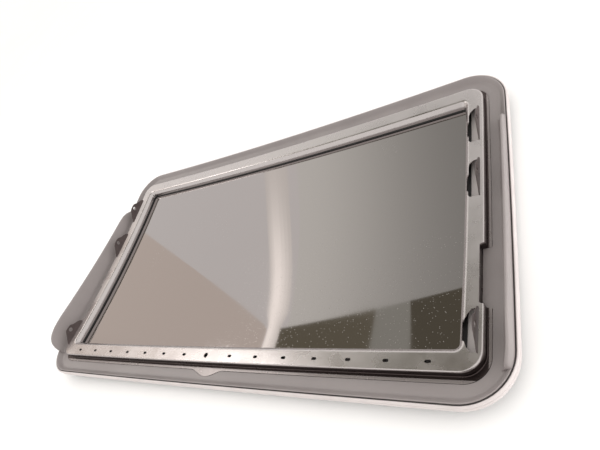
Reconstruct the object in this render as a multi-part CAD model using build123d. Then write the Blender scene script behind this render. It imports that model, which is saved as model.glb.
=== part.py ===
"""Bonded glass hatch lid, lying with its inner side up. Millimetres.

+X runs along the lid's long side, +Y from its front edge to its rear edge and
+Z from the outer face of the glass to the inner side. The whole lid is gently
bowed both ways. "Height" below is measured from the face of the inner frame,
square to the bow, and the frame's face is at height 0. The lid is moved up at
the end so that it stands on the crown of its glass at z = 0.
"""
import math
import os

from build123d import *

# --- driving dimensions -------------------------------------------------------
BOW_RADIUS_X = 10757.0      # bow along the long side
BOW_RADIUS_Y = 2681.0       # bow along the short side

SHEET = 1.4                 # thickness of the frame's steel sheet
FACE_HALF_X = 408.0         # outer edge of the frame's flat face
FACE_HALF_Y = 220.0
FACE_CORNER = 25.0
OPENING_HALF_X = 386.0      # crest of the lip around the window
OPENING_HALF_Y = 197.0
OPENING_CORNER = 10.0
LIP_RUN = 5.0               # how far the lip slopes inwards
LIP_DEPTH = 7.0             # and how far it drops
LIP_FOOT = 12.5             # underside of the lip, just clear of the glass
WALL_DEPTH = 12.6           # drop of the outer wall down to the flange
FLANGE_X = 5.0              # width of the outer flange along the sides
FLANGE_Y = 8.0              # and along the front and rear
TAB_HALF_WIDTH = 34.0       # half width of the front tab where it leaves the flange
TAB_TIP_HALF = 12.0         # half width of its tip
TAB_REACH = 10.0            # how far it stands out from the flange
TAB_TIP_RADIUS = 9.0

GLASS_TOP = -15.0
GLASS_THICKNESS = 4.8
GLASS_HALF_X = 430.0
GLASS_HALF_Y = 245.0
GLASS_CORNER = 52.0

RIM_HALF_X = 436.4          # outer edge of the grey moulding
RIM_HALF_Y = 251.0
RIM_CORNER = 58.0
RIM_TOP = -4.7              # height of its outer edge
RIM_FLOOR = -13.2           # height of its flat inner band
RIM_BANK = 7.5              # width of the bank between the band and the edge

CARRIER = 1.2               # thickness of the dense strip that holds the seal
CARRIER_UPPER_GAP = 0.8     # strip ends this far below the moulding's top edge
CARRIER_LOWER_GAP = 1.5     # and this far above the foot of the seal
SEAL_REACH = 3.0            # how far the seal stands out beyond the strip
SEAL_TOP = -6.0
SEAL_BOTTOM = -20.5

SIDE_WALL_FRONT_Y = -214.0  # where each upright side wall begins and ends
SIDE_WALL_REAR_Y = 152.0
SIDE_WALL_HEIGHT = 30.0
SIDE_WALL_FOOT = 12.5       # width of the foot
SIDE_WALL_ROOT = 1.5        # how deep the foot is set into the rim

FRONT_HOLE_PITCH = 50.0
FRONT_HOLE_Y = -209.0
FRONT_HOLE_PAIRS = 7
SLOT_LENGTH = 7.5
SLOT_WIDTH = 4.0
LOCATING_HOLE_RADIUS = 4.0

LUG_FACE_X = 401.0          # inner face of the upright lugs
LUG_HEIGHT = 20.0
LUG_HOLE_HEIGHT = 13.0
LUG_HOLE_RADIUS = 4.25
LUG_FOOT = 3.0              # straight part of each edge above the bend
LUG_SHOULDER = 6.0          # how far the shoulders lie below the tip
LUG_TIP = 3.0               # depth of the tip's rounded corners
LUG_REAR_DRAW = 5.0         # how far each shoulder is drawn in
LUG_FRONT_DRAW = 12.0
# front end and rear end of each lug's pocket, rear lug first
LUG_SPANS = {"rear": (110.5, 174.0), "middle": (13.2, 75.6), "front": (-199.0, -146.3)}
POCKET_INNER_X = 387.0
POCKET_NOTCH_X = 384.0
POCKET_NOTCH = 25.0

RECESS_FRONT_Y = -142.0     # step in the outer edge of each side rail
RECESS_REAR_Y = -60.0
RECESS_X = 401.5

BEAD_WIDTH = 7.0
BEAD_INSET = 1.0            # how far the bead squeezes out past the lip
SPACER_PLACES_X = (-275, -75, 75, 275)      # between the slots of the front rail
SPACER_SIDE_Y = -40.0
SPACER_X = 14.0
SPACER_Y = 8.0

CROWN = GLASS_TOP - GLASS_THICKNESS     # height of the lid's lowest point
ABOVE = 60.0                            # clear of everything above
BELOW = -60.0                           # clear of everything below


# --- shared geometry ----------------------------------------------------------
def rise(x, y):
    """How far the bow lifts the frame's face at a point of the plan."""
    return x**2 / (2 * BOW_RADIUS_X) + y**2 / (2 * BOW_RADIUS_Y)


def bowed_slab(low, high):
    """Everything between two heights, over more than the lid's whole plan."""
    reach_x = 480.0
    reach_y = 300.0

    def bend(side, reach, radius):
        """Control height of a parabola of the given end radius."""
        return side**2 * reach**2 / radius - reach**2 / (2 * radius)

    control = [[(i * reach_x, j * reach_y,
                 low + bend(i, reach_x, BOW_RADIUS_X) + bend(j, reach_y, BOW_RADIUS_Y))
                for j in (-1, 0, 1)] for i in (-1, 0, 1)]
    return extrude(Face.make_bezier_surface(control), high - low, dir=(0, 0, 1))


def prism(half_x, half_y, corner):
    """A tall upright block with rounded corners, centred on the plan."""
    outline = RectangleRounded(2 * half_x, 2 * half_y, corner)
    return Pos(0, 0, BELOW) * extrude(outline, ABOVE - BELOW)


def ring(half_x, half_y, corner, width):
    """A tall upright ring, width thick, inside the given outline."""
    inner_corner = max(corner - width, 1.0)
    return prism(half_x, half_y, corner) - prism(half_x - width, half_y - width, inner_corner)


def block(x0, x1, y0, y1):
    """A tall upright block between two corners of the plan."""
    return Pos((x0 + x1) / 2, (y0 + y1) / 2, 0) * Box(x1 - x0, y1 - y0, ABOVE - BELOW)


def on_bow(piece, x, y):
    """Stands a piece made about the origin on the face, leaning with the bow front to rear."""
    lean = math.degrees(math.asin(y / BOW_RADIUS_Y))
    return Pos(x, y, rise(x, y)) * Rot(lean, 0, 0) * piece


def one_solid(shape):
    """The shape's main solid, mended where a cut left a loose seam."""
    solid = max(shape.solids(), key=lambda candidate: candidate.volume)
    return solid if solid.is_valid else solid.fix()


def both_sides(piece):
    """A right-hand piece and its mirror image."""
    return [piece, mirror(piece, Plane.YZ)]


# --- the inner frame: one steel pressing --------------------------------------
def recesses(grow):
    """The steps cut into the outer edges of the two side rails, grown all round."""
    step = block(RECESS_X - grow, FACE_HALF_X + 2 * FLANGE_X,
                 RECESS_FRONT_Y - grow, RECESS_REAR_Y + grow)
    return both_sides(step)


def frame_hull(offset):
    """The pressing's upper skin, or with an offset of one sheet its under skin."""
    outer = prism(FACE_HALF_X - offset, FACE_HALF_Y - offset, FACE_CORNER - offset)
    inner_x = OPENING_HALF_X - LIP_RUN + offset
    inner_y = OPENING_HALF_Y - LIP_RUN + offset
    inner = prism(inner_x, inner_y, OPENING_CORNER - LIP_RUN / 2 + offset)
    hull = (outer - inner) & bowed_slab(BELOW / 2, -offset)
    hull = hull - recesses(offset)
    window_edges = []
    for edge in hull.edges():
        centre = edge.center()
        inside = abs(centre.X) < inner_x + 2 and abs(centre.Y) < inner_y + 2
        height = centre.Z - rise(centre.X, centre.Y)
        if inside and height > -offset - 1.5:
            window_edges.append(edge)
    return chamfer(window_edges, LIP_RUN, LIP_DEPTH)


def lug_outline(front_y, rear_y, height):
    """Upright tab, wide at its foot and rounded at its top, about its own middle."""
    half = (rear_y - front_y) / 2
    shoulder = POCKET_NOTCH / 2
    outline = make_face(Polyline([
        (-half, -SHEET / 2), (half, -SHEET / 2), (half, LUG_FOOT),
        (half - LUG_REAR_DRAW, height - LUG_SHOULDER),
        (shoulder, height - LUG_TIP), (shoulder - LUG_TIP, height),
        (-shoulder + LUG_TIP, height), (-shoulder, height - LUG_TIP),
        (-half + LUG_FRONT_DRAW, height - LUG_SHOULDER), (-half, LUG_FOOT), (-half, -SHEET / 2)]))
    return fillet(outline.vertices().sort_by(Axis.Y)[4:], 2.0)


def lug(front_y, rear_y):
    """One lug of the right-hand side, standing where its pocket was cut."""
    middle = (front_y + rear_y) / 2
    outline = lug_outline(front_y, rear_y, LUG_HEIGHT)
    outline = outline - Pos(0, LUG_HOLE_HEIGHT) * Circle(LUG_HOLE_RADIUS)
    plate = extrude(Plane.YZ * outline, SHEET, dir=(1, 0, 0))
    return on_bow(plate, LUG_FACE_X, middle)


def pocket(front_y, rear_y):
    """Window left in the side rail where a lug was lanced and bent up."""
    middle = (front_y + rear_y) / 2
    opening = Pos((POCKET_INNER_X + LUG_FACE_X) / 2, middle) * RectangleRounded(
        LUG_FACE_X - POCKET_INNER_X, rear_y - front_y, 3.0)
    notch = Pos((POCKET_NOTCH_X + LUG_FACE_X) / 2, middle) * RectangleRounded(
        LUG_FACE_X - POCKET_NOTCH_X, POCKET_NOTCH, 2.0)
    base = Pos(0, 0, rise(LUG_FACE_X, middle) - 6.0)
    return base * extrude(opening + notch, 16.0)


def front_tab(grow):
    """Tall prism over the plan of the broad rounded tab at the middle of the front flange."""
    edge = -FACE_HALF_Y - FLANGE_Y
    outline = make_face(Polyline([
        (-TAB_HALF_WIDTH - grow, edge), (-TAB_TIP_HALF - grow, edge - TAB_REACH - grow),
        (TAB_TIP_HALF + grow, edge - TAB_REACH - grow), (TAB_HALF_WIDTH + grow, edge),
        (TAB_HALF_WIDTH + grow, edge + SHEET), (-TAB_HALF_WIDTH - grow, edge + SHEET),
        (-TAB_HALF_WIDTH - grow, edge)]))
    outline = fillet(outline.vertices().sort_by(Axis.Y)[:2], TAB_TIP_RADIUS)
    return Pos(0, 0, BELOW) * extrude(outline, ABOVE - BELOW)


def flange():
    """Outer flange with its front tab, running in under the outer wall."""
    outline = prism(FACE_HALF_X + FLANGE_X, FACE_HALF_Y + FLANGE_Y, FACE_CORNER + FLANGE_X)
    level = (outline + front_tab(0.0)) & bowed_slab(-WALL_DEPTH - SHEET, -WALL_DEPTH)
    level = level - prism(OPENING_HALF_X - LIP_RUN - 1, OPENING_HALF_Y - LIP_RUN - 1, OPENING_CORNER)
    return level - recesses(0.0)


def inner_frame():
    under_lip = prism(OPENING_HALF_X, OPENING_HALF_Y, OPENING_CORNER)
    skin = (frame_hull(0.0) & bowed_slab(-WALL_DEPTH - SHEET, 1.0)) + flange()
    skin = skin - (under_lip & bowed_slab(BELOW / 2, -LIP_FOOT))
    hollow = frame_hull(SHEET) & bowed_slab(BELOW / 2 + 5, 1.0)
    frame = skin - hollow
    for front_y, rear_y in LUG_SPANS.values():
        for cut in both_sides(pocket(front_y, rear_y)):
            frame = frame - cut
    base_z = rise(0, FRONT_HOLE_Y) - 6.0
    for pair in range(1, FRONT_HOLE_PAIRS + 1):
        for x in (-pair * FRONT_HOLE_PITCH, pair * FRONT_HOLE_PITCH):
            slot = extrude(SlotOverall(SLOT_LENGTH, SLOT_WIDTH), 18.0)
            frame = frame - Pos(x, FRONT_HOLE_Y, base_z) * slot
    frame = frame - Pos(0, FRONT_HOLE_Y, base_z) * extrude(Circle(LOCATING_HOLE_RADIUS), 12.0)
    for front_y, rear_y in LUG_SPANS.values():
        for upright in both_sides(lug(front_y, rear_y)):
            frame = frame + upright
    return one_solid(frame)


# --- glass and its bond -------------------------------------------------------
def glass_pane():
    outline = prism(GLASS_HALF_X, GLASS_HALF_Y, GLASS_CORNER)
    return one_solid(outline & bowed_slab(CROWN, GLASS_TOP))


def bond_spacers():
    """Rubber blocks that set the height of the bead while it cures."""
    spacers = []
    half_x = OPENING_HALF_X + SPACER_Y
    half_y = OPENING_HALF_Y + SPACER_Y
    places = [(x, side * half_y) for x in SPACER_PLACES_X for side in (-1, 1)]
    places += [(side * half_x, SPACER_SIDE_Y) for side in (-1, 1)]
    for x, y in places:
        size_x, size_y = (SPACER_X, SPACER_Y) if abs(y) == half_y else (SPACER_Y, SPACER_X)
        spacer = block(x - size_x / 2, x + size_x / 2, y - size_y / 2, y + size_y / 2)
        spacers.append(spacer & bowed_slab(GLASS_TOP, -SHEET))
    return Compound(children=[solid for spacer in spacers for solid in spacer.solids()])


def adhesive_bead():
    """Black bead from the glass up to the foot of the frame's lip."""
    outer_x = OPENING_HALF_X - LIP_RUN - BEAD_INSET + BEAD_WIDTH
    outer_y = OPENING_HALF_Y - LIP_RUN - BEAD_INSET + BEAD_WIDTH
    bead = ring(outer_x, outer_y, OPENING_CORNER + 2, BEAD_WIDTH)
    return one_solid(bead & bowed_slab(GLASS_TOP, -LIP_FOOT))


def flange_bond():
    """Thin bond under the frame's outer flange."""
    outline = ring(FACE_HALF_X + FLANGE_X, FACE_HALF_Y + FLANGE_Y, FACE_CORNER + FLANGE_X, FLANGE_X)
    bond = outline & bowed_slab(GLASS_TOP, -WALL_DEPTH - SHEET)
    return Compound(children=(bond - recesses(0.0)).solids())


# --- moulded rim and side walls -----------------------------------------------
def side_wall_profile():
    """Section of the right-hand wall: broad foot, leaning inner face, thin top."""
    lift = rise(RIM_HALF_X, 0)
    root = RIM_FLOOR - SIDE_WALL_ROOT
    points = [(RIM_HALF_X - SIDE_WALL_FOOT, RIM_FLOOR),
              (RIM_HALF_X - 9.0, -10.0),                        # curve of the foot
              (RIM_HALF_X - 6.0, 0.0),                          # where the wall stands clear
              (RIM_HALF_X - 0.5, SIDE_WALL_HEIGHT),             # inner edge of the top
              (RIM_HALF_X + 2.5, SIDE_WALL_HEIGHT),             # outer edge of the top
              (RIM_HALF_X, RIM_TOP),
              (RIM_HALF_X, root),
              (RIM_HALF_X - SIDE_WALL_FOOT, root)]
    raised = [(x, z + lift) for x, z in points]
    return make_face(Plane.XZ * Polyline(raised + raised[:1]))


def side_wall_crest():
    """Side view that trims the wall's top: low at the rear, high at the front."""
    lift = rise(RIM_HALF_X, 0)
    under = -SIDE_WALL_HEIGHT
    points = [(SIDE_WALL_FRONT_Y, under),
              (SIDE_WALL_FRONT_Y, 0),
              (-204, 16), (-190, 25), (-168, 29.5),             # rounded front end
              (-150, SIDE_WALL_HEIGHT),                         # highest point
              (120, SIDE_WALL_HEIGHT / 2), (136, 9),            # long slope down to the rear
              (SIDE_WALL_REAR_Y, RIM_TOP),
              (SIDE_WALL_REAR_Y, under)]
    raised = [(y, z + lift + rise(0, y)) for y, z in points]
    outline = make_face(Plane.YZ * Polyline(raised + raised[:1]))
    return Pos(RIM_HALF_X - 20, 0, 0) * extrude(outline, 30.0, dir=(1, 0, 0))


def side_wall():
    axis = Axis((0, 0, BOW_RADIUS_Y), (1, 0, 0))
    front = math.degrees(math.asin(-SIDE_WALL_FRONT_Y / BOW_RADIUS_Y))
    rear = math.degrees(math.asin(SIDE_WALL_REAR_Y / BOW_RADIUS_Y))
    profile = side_wall_profile().rotate(axis, -front)
    wall = revolve(profile, axis, revolution_arc=front + rear) & side_wall_crest()
    outside = Box(1200, 800, 200) - prism(RIM_HALF_X, RIM_HALF_Y, RIM_CORNER)
    return one_solid(wall - (outside & bowed_slab(BELOW / 2, RIM_TOP)))


def rim_moulding(walls):
    rim = prism(RIM_HALF_X, RIM_HALF_Y, RIM_CORNER) & bowed_slab(CROWN, RIM_TOP)
    floor_x = RIM_HALF_X - RIM_BANK
    floor_y = RIM_HALF_Y - RIM_BANK
    rim = rim - (prism(floor_x, floor_y, RIM_CORNER - RIM_BANK) & bowed_slab(RIM_FLOOR, ABOVE / 2))
    clear = 0.3
    frame_room = prism(FACE_HALF_X + FLANGE_X + clear, FACE_HALF_Y + FLANGE_Y + clear,
                       FACE_CORNER + FLANGE_X)
    rim = rim - (frame_room - recesses(-clear))
    rim = rim - (front_tab(clear) & bowed_slab(GLASS_TOP, ABOVE / 2))
    rim = rim - glass_pane()
    for wall in walls:
        rim = rim - wall
    return one_solid(rim)


# --- perimeter seal -----------------------------------------------------------
def seal_carrier():
    """Dense strip clipped round the moulding's edge."""
    strip = ring(RIM_HALF_X + CARRIER, RIM_HALF_Y + CARRIER, RIM_CORNER + CARRIER, CARRIER)
    return one_solid(strip & bowed_slab(SEAL_BOTTOM + CARRIER_LOWER_GAP, RIM_TOP - CARRIER_UPPER_GAP))


def seal_bulb():
    """Soft outer seal."""
    inner_x = RIM_HALF_X + CARRIER
    inner_y = RIM_HALF_Y + CARRIER
    corner = RIM_CORNER + CARRIER
    outline = ring(inner_x + SEAL_REACH, inner_y + SEAL_REACH, corner + SEAL_REACH, SEAL_REACH)
    return one_solid(outline & bowed_slab(SEAL_BOTTOM, SEAL_TOP))


# --- the lid ------------------------------------------------------------------
def build():
    right_wall, left_wall = both_sides(side_wall())
    return {
        "glass_pane": glass_pane(),
        "bond_spacers": bond_spacers(),
        "adhesive_bead": adhesive_bead(),
        "flange_bond": flange_bond(),
        "inner_frame": inner_frame(),
        "rim_moulding": rim_moulding([right_wall, left_wall]),
        "side_wall_right": right_wall,
        "side_wall_left": left_wall,
        "seal_carrier": seal_carrier(),
        "seal_bulb": seal_bulb(),
    }


os.makedirs("parts", exist_ok=True)
for name, shape in build().items():
    export_step(Pos(0, 0, -CROWN) * shape, f"parts/{name}.step")
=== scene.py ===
import math
import random

import bpy
from mathutils import Matrix, Vector


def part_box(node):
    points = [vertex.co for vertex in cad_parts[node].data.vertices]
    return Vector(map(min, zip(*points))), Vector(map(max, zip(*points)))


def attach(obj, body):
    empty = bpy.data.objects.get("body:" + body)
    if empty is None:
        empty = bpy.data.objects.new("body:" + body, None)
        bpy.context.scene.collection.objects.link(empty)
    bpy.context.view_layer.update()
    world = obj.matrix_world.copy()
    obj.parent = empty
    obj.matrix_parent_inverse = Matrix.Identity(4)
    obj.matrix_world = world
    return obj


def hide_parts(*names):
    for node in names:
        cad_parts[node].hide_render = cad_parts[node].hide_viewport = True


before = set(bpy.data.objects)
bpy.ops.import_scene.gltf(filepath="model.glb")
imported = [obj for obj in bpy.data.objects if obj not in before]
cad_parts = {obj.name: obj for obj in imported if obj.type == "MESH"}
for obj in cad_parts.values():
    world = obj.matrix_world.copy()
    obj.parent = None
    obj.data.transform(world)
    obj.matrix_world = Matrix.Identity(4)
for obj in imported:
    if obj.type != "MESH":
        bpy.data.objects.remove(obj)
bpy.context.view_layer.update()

# --- Stage and camera -----------------------------------------------------------
# A matt white paper sweep under even daylight, as inside a tent of white cloth.
# Plain glowing cards hang over the lid and stand round it, out of the camera's
# sight: some only for the shiny faces to mirror, two only to light the lid.
MM = 0.001


def linear(hex_colour):
    """An sRGB hex colour as the linear colour that shaders take."""
    channels = [int(hex_colour[i:i + 2], 16) / 255 for i in (1, 3, 5)]
    return tuple(c / 12.92 if c <= 0.04045 else ((c + 0.055) / 1.055) ** 2.4
                 for c in channels) + (1.0,)


def add_node(tree, kind, inputs=None, **settings):
    """Adds one shader node. An input is a value or the output of another node."""
    made = tree.nodes.new(kind)
    for name, value in settings.items():
        setattr(made, name, value)
    for socket, value in (inputs or {}).items():
        if isinstance(value, bpy.types.NodeSocket):
            tree.links.new(value, made.inputs[socket])
        else:
            made.inputs[socket].default_value = value
    return made


def new_material(name):
    """An empty node material and its node tree."""
    material = bpy.data.materials.new(name)
    material.use_nodes = True
    material.node_tree.nodes.clear()
    return material, material.node_tree


def finish_material(tree, surface):
    """Joins the finished shader to the material's output."""
    add_node(tree, "ShaderNodeOutputMaterial", {"Surface": surface.outputs[0]})


def add_object(name, points, faces, material, smooth=False):
    """A mesh object at the origin, from points in metres."""
    mesh = bpy.data.meshes.new(name)
    mesh.from_pydata([tuple(p) for p in points], [], faces)
    mesh.update()
    made = bpy.data.objects.new(name, mesh)
    made.data.materials.append(material)
    bpy.context.scene.collection.objects.link(made)
    for polygon in mesh.polygons:
        polygon.use_smooth = smooth
    return made


floor_material, floor_tree = new_material("matt_white_paper_sweep")
# Uncoated paper is matt and evenly bright, with a cloudiness that hardly shows,
# here in patches half a metre wide.
FLOOR_PATCH = 500 * MM
floor_place = add_node(floor_tree, "ShaderNodeTexCoord")
floor_grain = add_node(floor_tree, "ShaderNodeTexNoise", {
    "Vector": floor_place.outputs["Object"], "Scale": 1 / FLOOR_PATCH, "Detail": 4.0})
floor_tone = add_node(floor_tree, "ShaderNodeMix", {
    0: floor_grain.outputs["Fac"], 6: linear("#f7f6f5"),
    7: linear("#fbfaf9")}, data_type="RGBA")
finish_material(floor_tree, add_node(floor_tree, "ShaderNodeBsdfPrincipled", {
    "Base Color": floor_tone.outputs[2], "Roughness": 0.9, "Specular IOR Level": 0.1}))

# The floor runs out flat and then sweeps up behind the lid, out of sight.
FLOOR_REACH = 9.0
SWEEP_RADIUS = 3.0
SWEEP_HALF_WIDTH = 14.0
behind_lid = Vector((-0.73, 0.68, 0.0))
along_sweep = Vector((0.68, 0.73, 0.0))
sweep_line = [(-FLOOR_REACH, 0.0), (FLOOR_REACH, 0.0)]
sweep_line += [(FLOOR_REACH + SWEEP_RADIUS * math.sin(a), SWEEP_RADIUS * (1 - math.cos(a)))
               for a in [math.radians(10 * step) for step in range(1, 10)]]
floor_points = [behind_lid * run + along_sweep * side + Vector((0, 0, rise))
                for run, rise in sweep_line for side in (-SWEEP_HALF_WIDTH, SWEEP_HALF_WIDTH)]
floor_faces = [(2 * i, 2 * i + 1, 2 * i + 3, 2 * i + 2) for i in range(len(sweep_line) - 1)]
floor = add_object("floor", floor_points, floor_faces, floor_material, smooth=True)


def add_card(name, corners, colour, strength):
    """A flat glowing card or flag. Unless told otherwise, only shiny faces see it."""
    material, tree = new_material(name)
    finish_material(tree, add_node(tree, "ShaderNodeEmission", {
        "Color": linear(colour), "Strength": strength}))
    card = add_object(name, corners, [tuple(range(len(corners)))], material)
    card.visible_diffuse = False
    card.visible_shadow = False
    card.visible_camera = False
    return card


OVERHEAD = 2.0           # height of the cards above the floor


def hang(plan, drop=0.0):
    """Corners of a card that hangs level, a little lower or higher than the others."""
    return [(x, y, OVERHEAD - drop) for x, y in plan]


DARK_FRONT = -0.6        # front edge of the olive flags
DARK_LEFT = -1.85        # where the warm card ends and the first olive flag begins
GAP_LEFT = -1.0          # a paler gap lies between the two olive flags
GAP_RIGHT = -0.72
GAP_BEND = 0.92          # the gap's sides turn here, to allow for the bow of the pane
DARK_RIGHT = 0.1
DARK_REAR = 1.0          # rear edge of the olive flags at its left end
DARK_SLOPE = 0.14        # how fast that edge runs back towards the right
GAP_DRAW = 0.02          # the gap narrows by this much on each side at the rear


def dark_corner(x):
    """The point of the olive flags' straight rear edge at this x."""
    return (x, DARK_REAR + DARK_SLOPE * (x - DARK_LEFT))


warm_corner = dark_corner(DARK_LEFT)
gap_corner_left = dark_corner(GAP_LEFT + GAP_DRAW)
gap_corner_right = dark_corner(GAP_RIGHT - GAP_DRAW)
# The warm card's rear edge is curved, so that the bowed pane mirrors it as a line.
WARM_EDGE_START = (-1.91, 1.04)
WARM_EDGE_RUN = 1.71     # length of the curve, to the left
WARM_EDGE_RISE = 0.43    # its slope at the start, and how fast the slope falls off
WARM_EDGE_BEND = 0.05
WARM_EDGE_STEPS = 6
WARM_FAR_LEFT = -7.5
WARM_FRONT = -1.2
warm_edge = []
for step in range(WARM_EDGE_STEPS + 1):
    run = WARM_EDGE_RUN * step / WARM_EDGE_STEPS
    warm_edge.append((WARM_EDGE_START[0] - run,
                      WARM_EDGE_START[1] + WARM_EDGE_RISE * run - WARM_EDGE_BEND * run * run))
warm = add_card("warm_card", hang([warm_corner] + warm_edge + [
    (WARM_FAR_LEFT, 2.6), (WARM_FAR_LEFT, WARM_FRONT), (DARK_LEFT - 0.03, WARM_FRONT)]), "#fff3e8", 1.0)
add_card("olive_flag", hang([
    warm_corner, (DARK_LEFT - 0.01, DARK_FRONT), (GAP_LEFT, DARK_FRONT),
    (GAP_LEFT, GAP_BEND), gap_corner_left]), "#847e6d", 1.0)
add_card("olive_gap", hang([
    gap_corner_left, (GAP_LEFT, GAP_BEND), (GAP_LEFT, DARK_FRONT), (GAP_RIGHT, DARK_FRONT),
    (GAP_RIGHT, GAP_BEND), gap_corner_right]), "#b9b9b0", 1.0)
add_card("olive_end", hang([
    gap_corner_right, (GAP_RIGHT, GAP_BEND), (GAP_RIGHT, DARK_FRONT), (DARK_RIGHT, DARK_FRONT),
    dark_corner(DARK_RIGHT)]), "#716c5e", 1.0)


def fade_card(card, axis, near, far, near_strength, far_strength):
    """Lets a card's glow change smoothly along one axis."""
    tree = card.data.materials[0].node_tree
    place = add_node(tree, "ShaderNodeTexCoord")
    axes = add_node(tree, "ShaderNodeSeparateXYZ", {0: place.outputs["Object"]})
    fade = add_node(tree, "ShaderNodeMapRange", {
        "Value": axes.outputs[axis], "From Min": near, "From Max": far,
        "To Min": near_strength, "To Max": far_strength}, interpolation_type="SMOOTHSTEP")
    tree.links.new(fade.outputs[0], tree.nodes["Emission"].inputs["Strength"])


# The warm card dims towards the front, and the pale ceiling towards the right.
fade_card(warm, "Y", near=0.35, far=0.9, near_strength=0.68, far_strength=1.02)
ceiling = add_card("ceiling_card", hang([
    (-1.72, 0.5), (-0.12, 0.5), (-0.12, 2.25), (-1.72, 2.25)], drop=-0.05), "#f9f9f2", 1.0)
fade_card(ceiling, "X", near=-1.75, far=-0.2, near_strength=1.16, far_strength=0.50)
# A strip of window light, soft at both sides and stronger towards the front. It
# is four strips, one under the other, each narrower and brighter than the last.
STRIP_REAR = 2.06
STRIP_STEP = 0.08
STRIP_STEPS = 15
STRIP_X = -1.835         # its middle sways by a half wave, to allow for the bow
STRIP_SWAY = 0.045
SWAY_REAR = 1.78         # where it lies farthest left
HALF_WAVE = 0.70
TAPER_FROM = 1.54        # it narrows towards the front, and more so at its foot
TAPER = 0.34
FOOT_FROM = 1.06
FOOT_SHARE = 0.53


def strip_middle(y):
    """The strip's middle and the share of its full width at this place."""
    x = STRIP_X - STRIP_SWAY * math.cos(math.pi * (y - SWAY_REAR) / HALF_WAVE)
    if y < FOOT_FROM:
        return x, y, FOOT_SHARE
    return x, y, 1.0 - TAPER * max(TAPER_FROM - y, 0.0)


strip_line = [strip_middle(STRIP_REAR - STRIP_STEP * step) for step in range(STRIP_STEPS + 1)]
STRIP_LAYERS = [(0.115, 0.25), (0.09, 0.5), (0.062, 0.75), (0.035, 1.0)]   # half width, glow
LAYER_GAP = 0.01
for layer, (half_width, glow) in enumerate(STRIP_LAYERS):
    strip_edges = [(x - half_width * width, y) for x, y, width in strip_line]
    strip_edges += [(x + half_width * width, y) for x, y, width in reversed(strip_line)]
    strip = add_card(f"light_strip_{layer}", hang(strip_edges, LAYER_GAP * (layer + 1)), "#fffbf4", 1.0)
    fade_card(strip, "Y", near=1.95, far=1.15,
              near_strength=1.15 + 0.1 * glow, far_strength=1.2 + 0.95 * glow)
# A small bright window, for the highlights on the shiny steel.
add_card("window_light", hang([
    (-2.35, 0.84), (-2.25, -0.3), (-1.45, -0.3), (-1.55, 0.84)], drop=0.06), "#fffdfa", 4.5)
add_card("front_flag", [
    (0.2, -1.7, 0.1), (1.7, -1.7, 0.1), (1.7, -1.7, 1.9), (0.2, -1.7, 1.9)], "#4a4442", 1.0)


def add_side_light(name, corners, strength):
    """A white card that lights the lid and isn't mirrored in it."""
    card = add_card(name, corners, "#ffffff", strength)
    card.visible_diffuse = True
    card.visible_glossy = False


add_side_light("side_light", [
    (1.5, -1.0, 0.02), (1.5, 1.0, 0.02), (1.5, 1.0, 0.9), (1.5, -1.0, 0.9)], 3.0)
add_side_light("left_light", [
    (-1.2, -1.1, 0.2), (-1.2, 0.9, 0.2), (-1.4, 0.9, 1.2), (-1.4, -1.1, 1.2)], 2.0)

DAYLIGHT = 1.12
world = bpy.data.worlds.new("daylight_tent")
world.use_nodes = True
world.node_tree.nodes["Background"].inputs["Color"].default_value = linear("#fffdfa")
world.node_tree.nodes["Background"].inputs["Strength"].default_value = DAYLIGHT
bpy.context.scene.world = world
bpy.context.scene.view_settings.view_transform = "Standard"

CAMERA_PLACE = (0.5225, -0.3669, 0.4920)
CAMERA_TURN = (40.749, 32.251, 14.952)     # degrees about X, Y and Z
LENS = 26.24                               # focal length and sensor width in mm
SENSOR_WIDTH = 36.0
camera_data = bpy.data.cameras.new("camera")
camera_data.lens = LENS
camera_data.sensor_width = SENSOR_WIDTH
camera = bpy.data.objects.new("camera", camera_data)
bpy.context.scene.collection.objects.link(camera)
camera.location = CAMERA_PLACE
camera.rotation_euler = [math.radians(angle) for angle in CAMERA_TURN]
bpy.context.scene.camera = camera

# --- Glass pane -------------------------------------------------------------------
# One sheet of toughened soda-lime glass, tinted in the melt and bent to a gentle
# bow both ways. The inner face carries a thin mirror-like solar coating, and a
# black ceramic border is fired on to the outer face to hide the bond.
BOW_RADIUS_X = 10.757        # bow along the long side
BOW_RADIUS_Y = 2.681         # bow along the short side
FACE_LEVEL = 19.8 * MM       # the frame's flat face above the pane's outer face


def lift(x, y, height):
    """Level of a point of the plan at a height above the frame's bowed face."""
    return FACE_LEVEL + x * x / (2 * BOW_RADIUS_X) + y * y / (2 * BOW_RADIUS_Y) + height


pane_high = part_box("glass_pane")[1]
PANE_CORNER = 52 * MM
PANE_TOP = -15 * MM
PANE_THICKNESS = 4.8 * MM
BORDER_X = 376 * MM          # where the black ceramic border ends
BORDER_Y = 186 * MM
PRIMER_X = 386 * MM          # where the pale primer on the inner face begins
PRIMER_Y = 197 * MM

coated, tree = new_material("solar_coated_float_glass")
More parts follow.
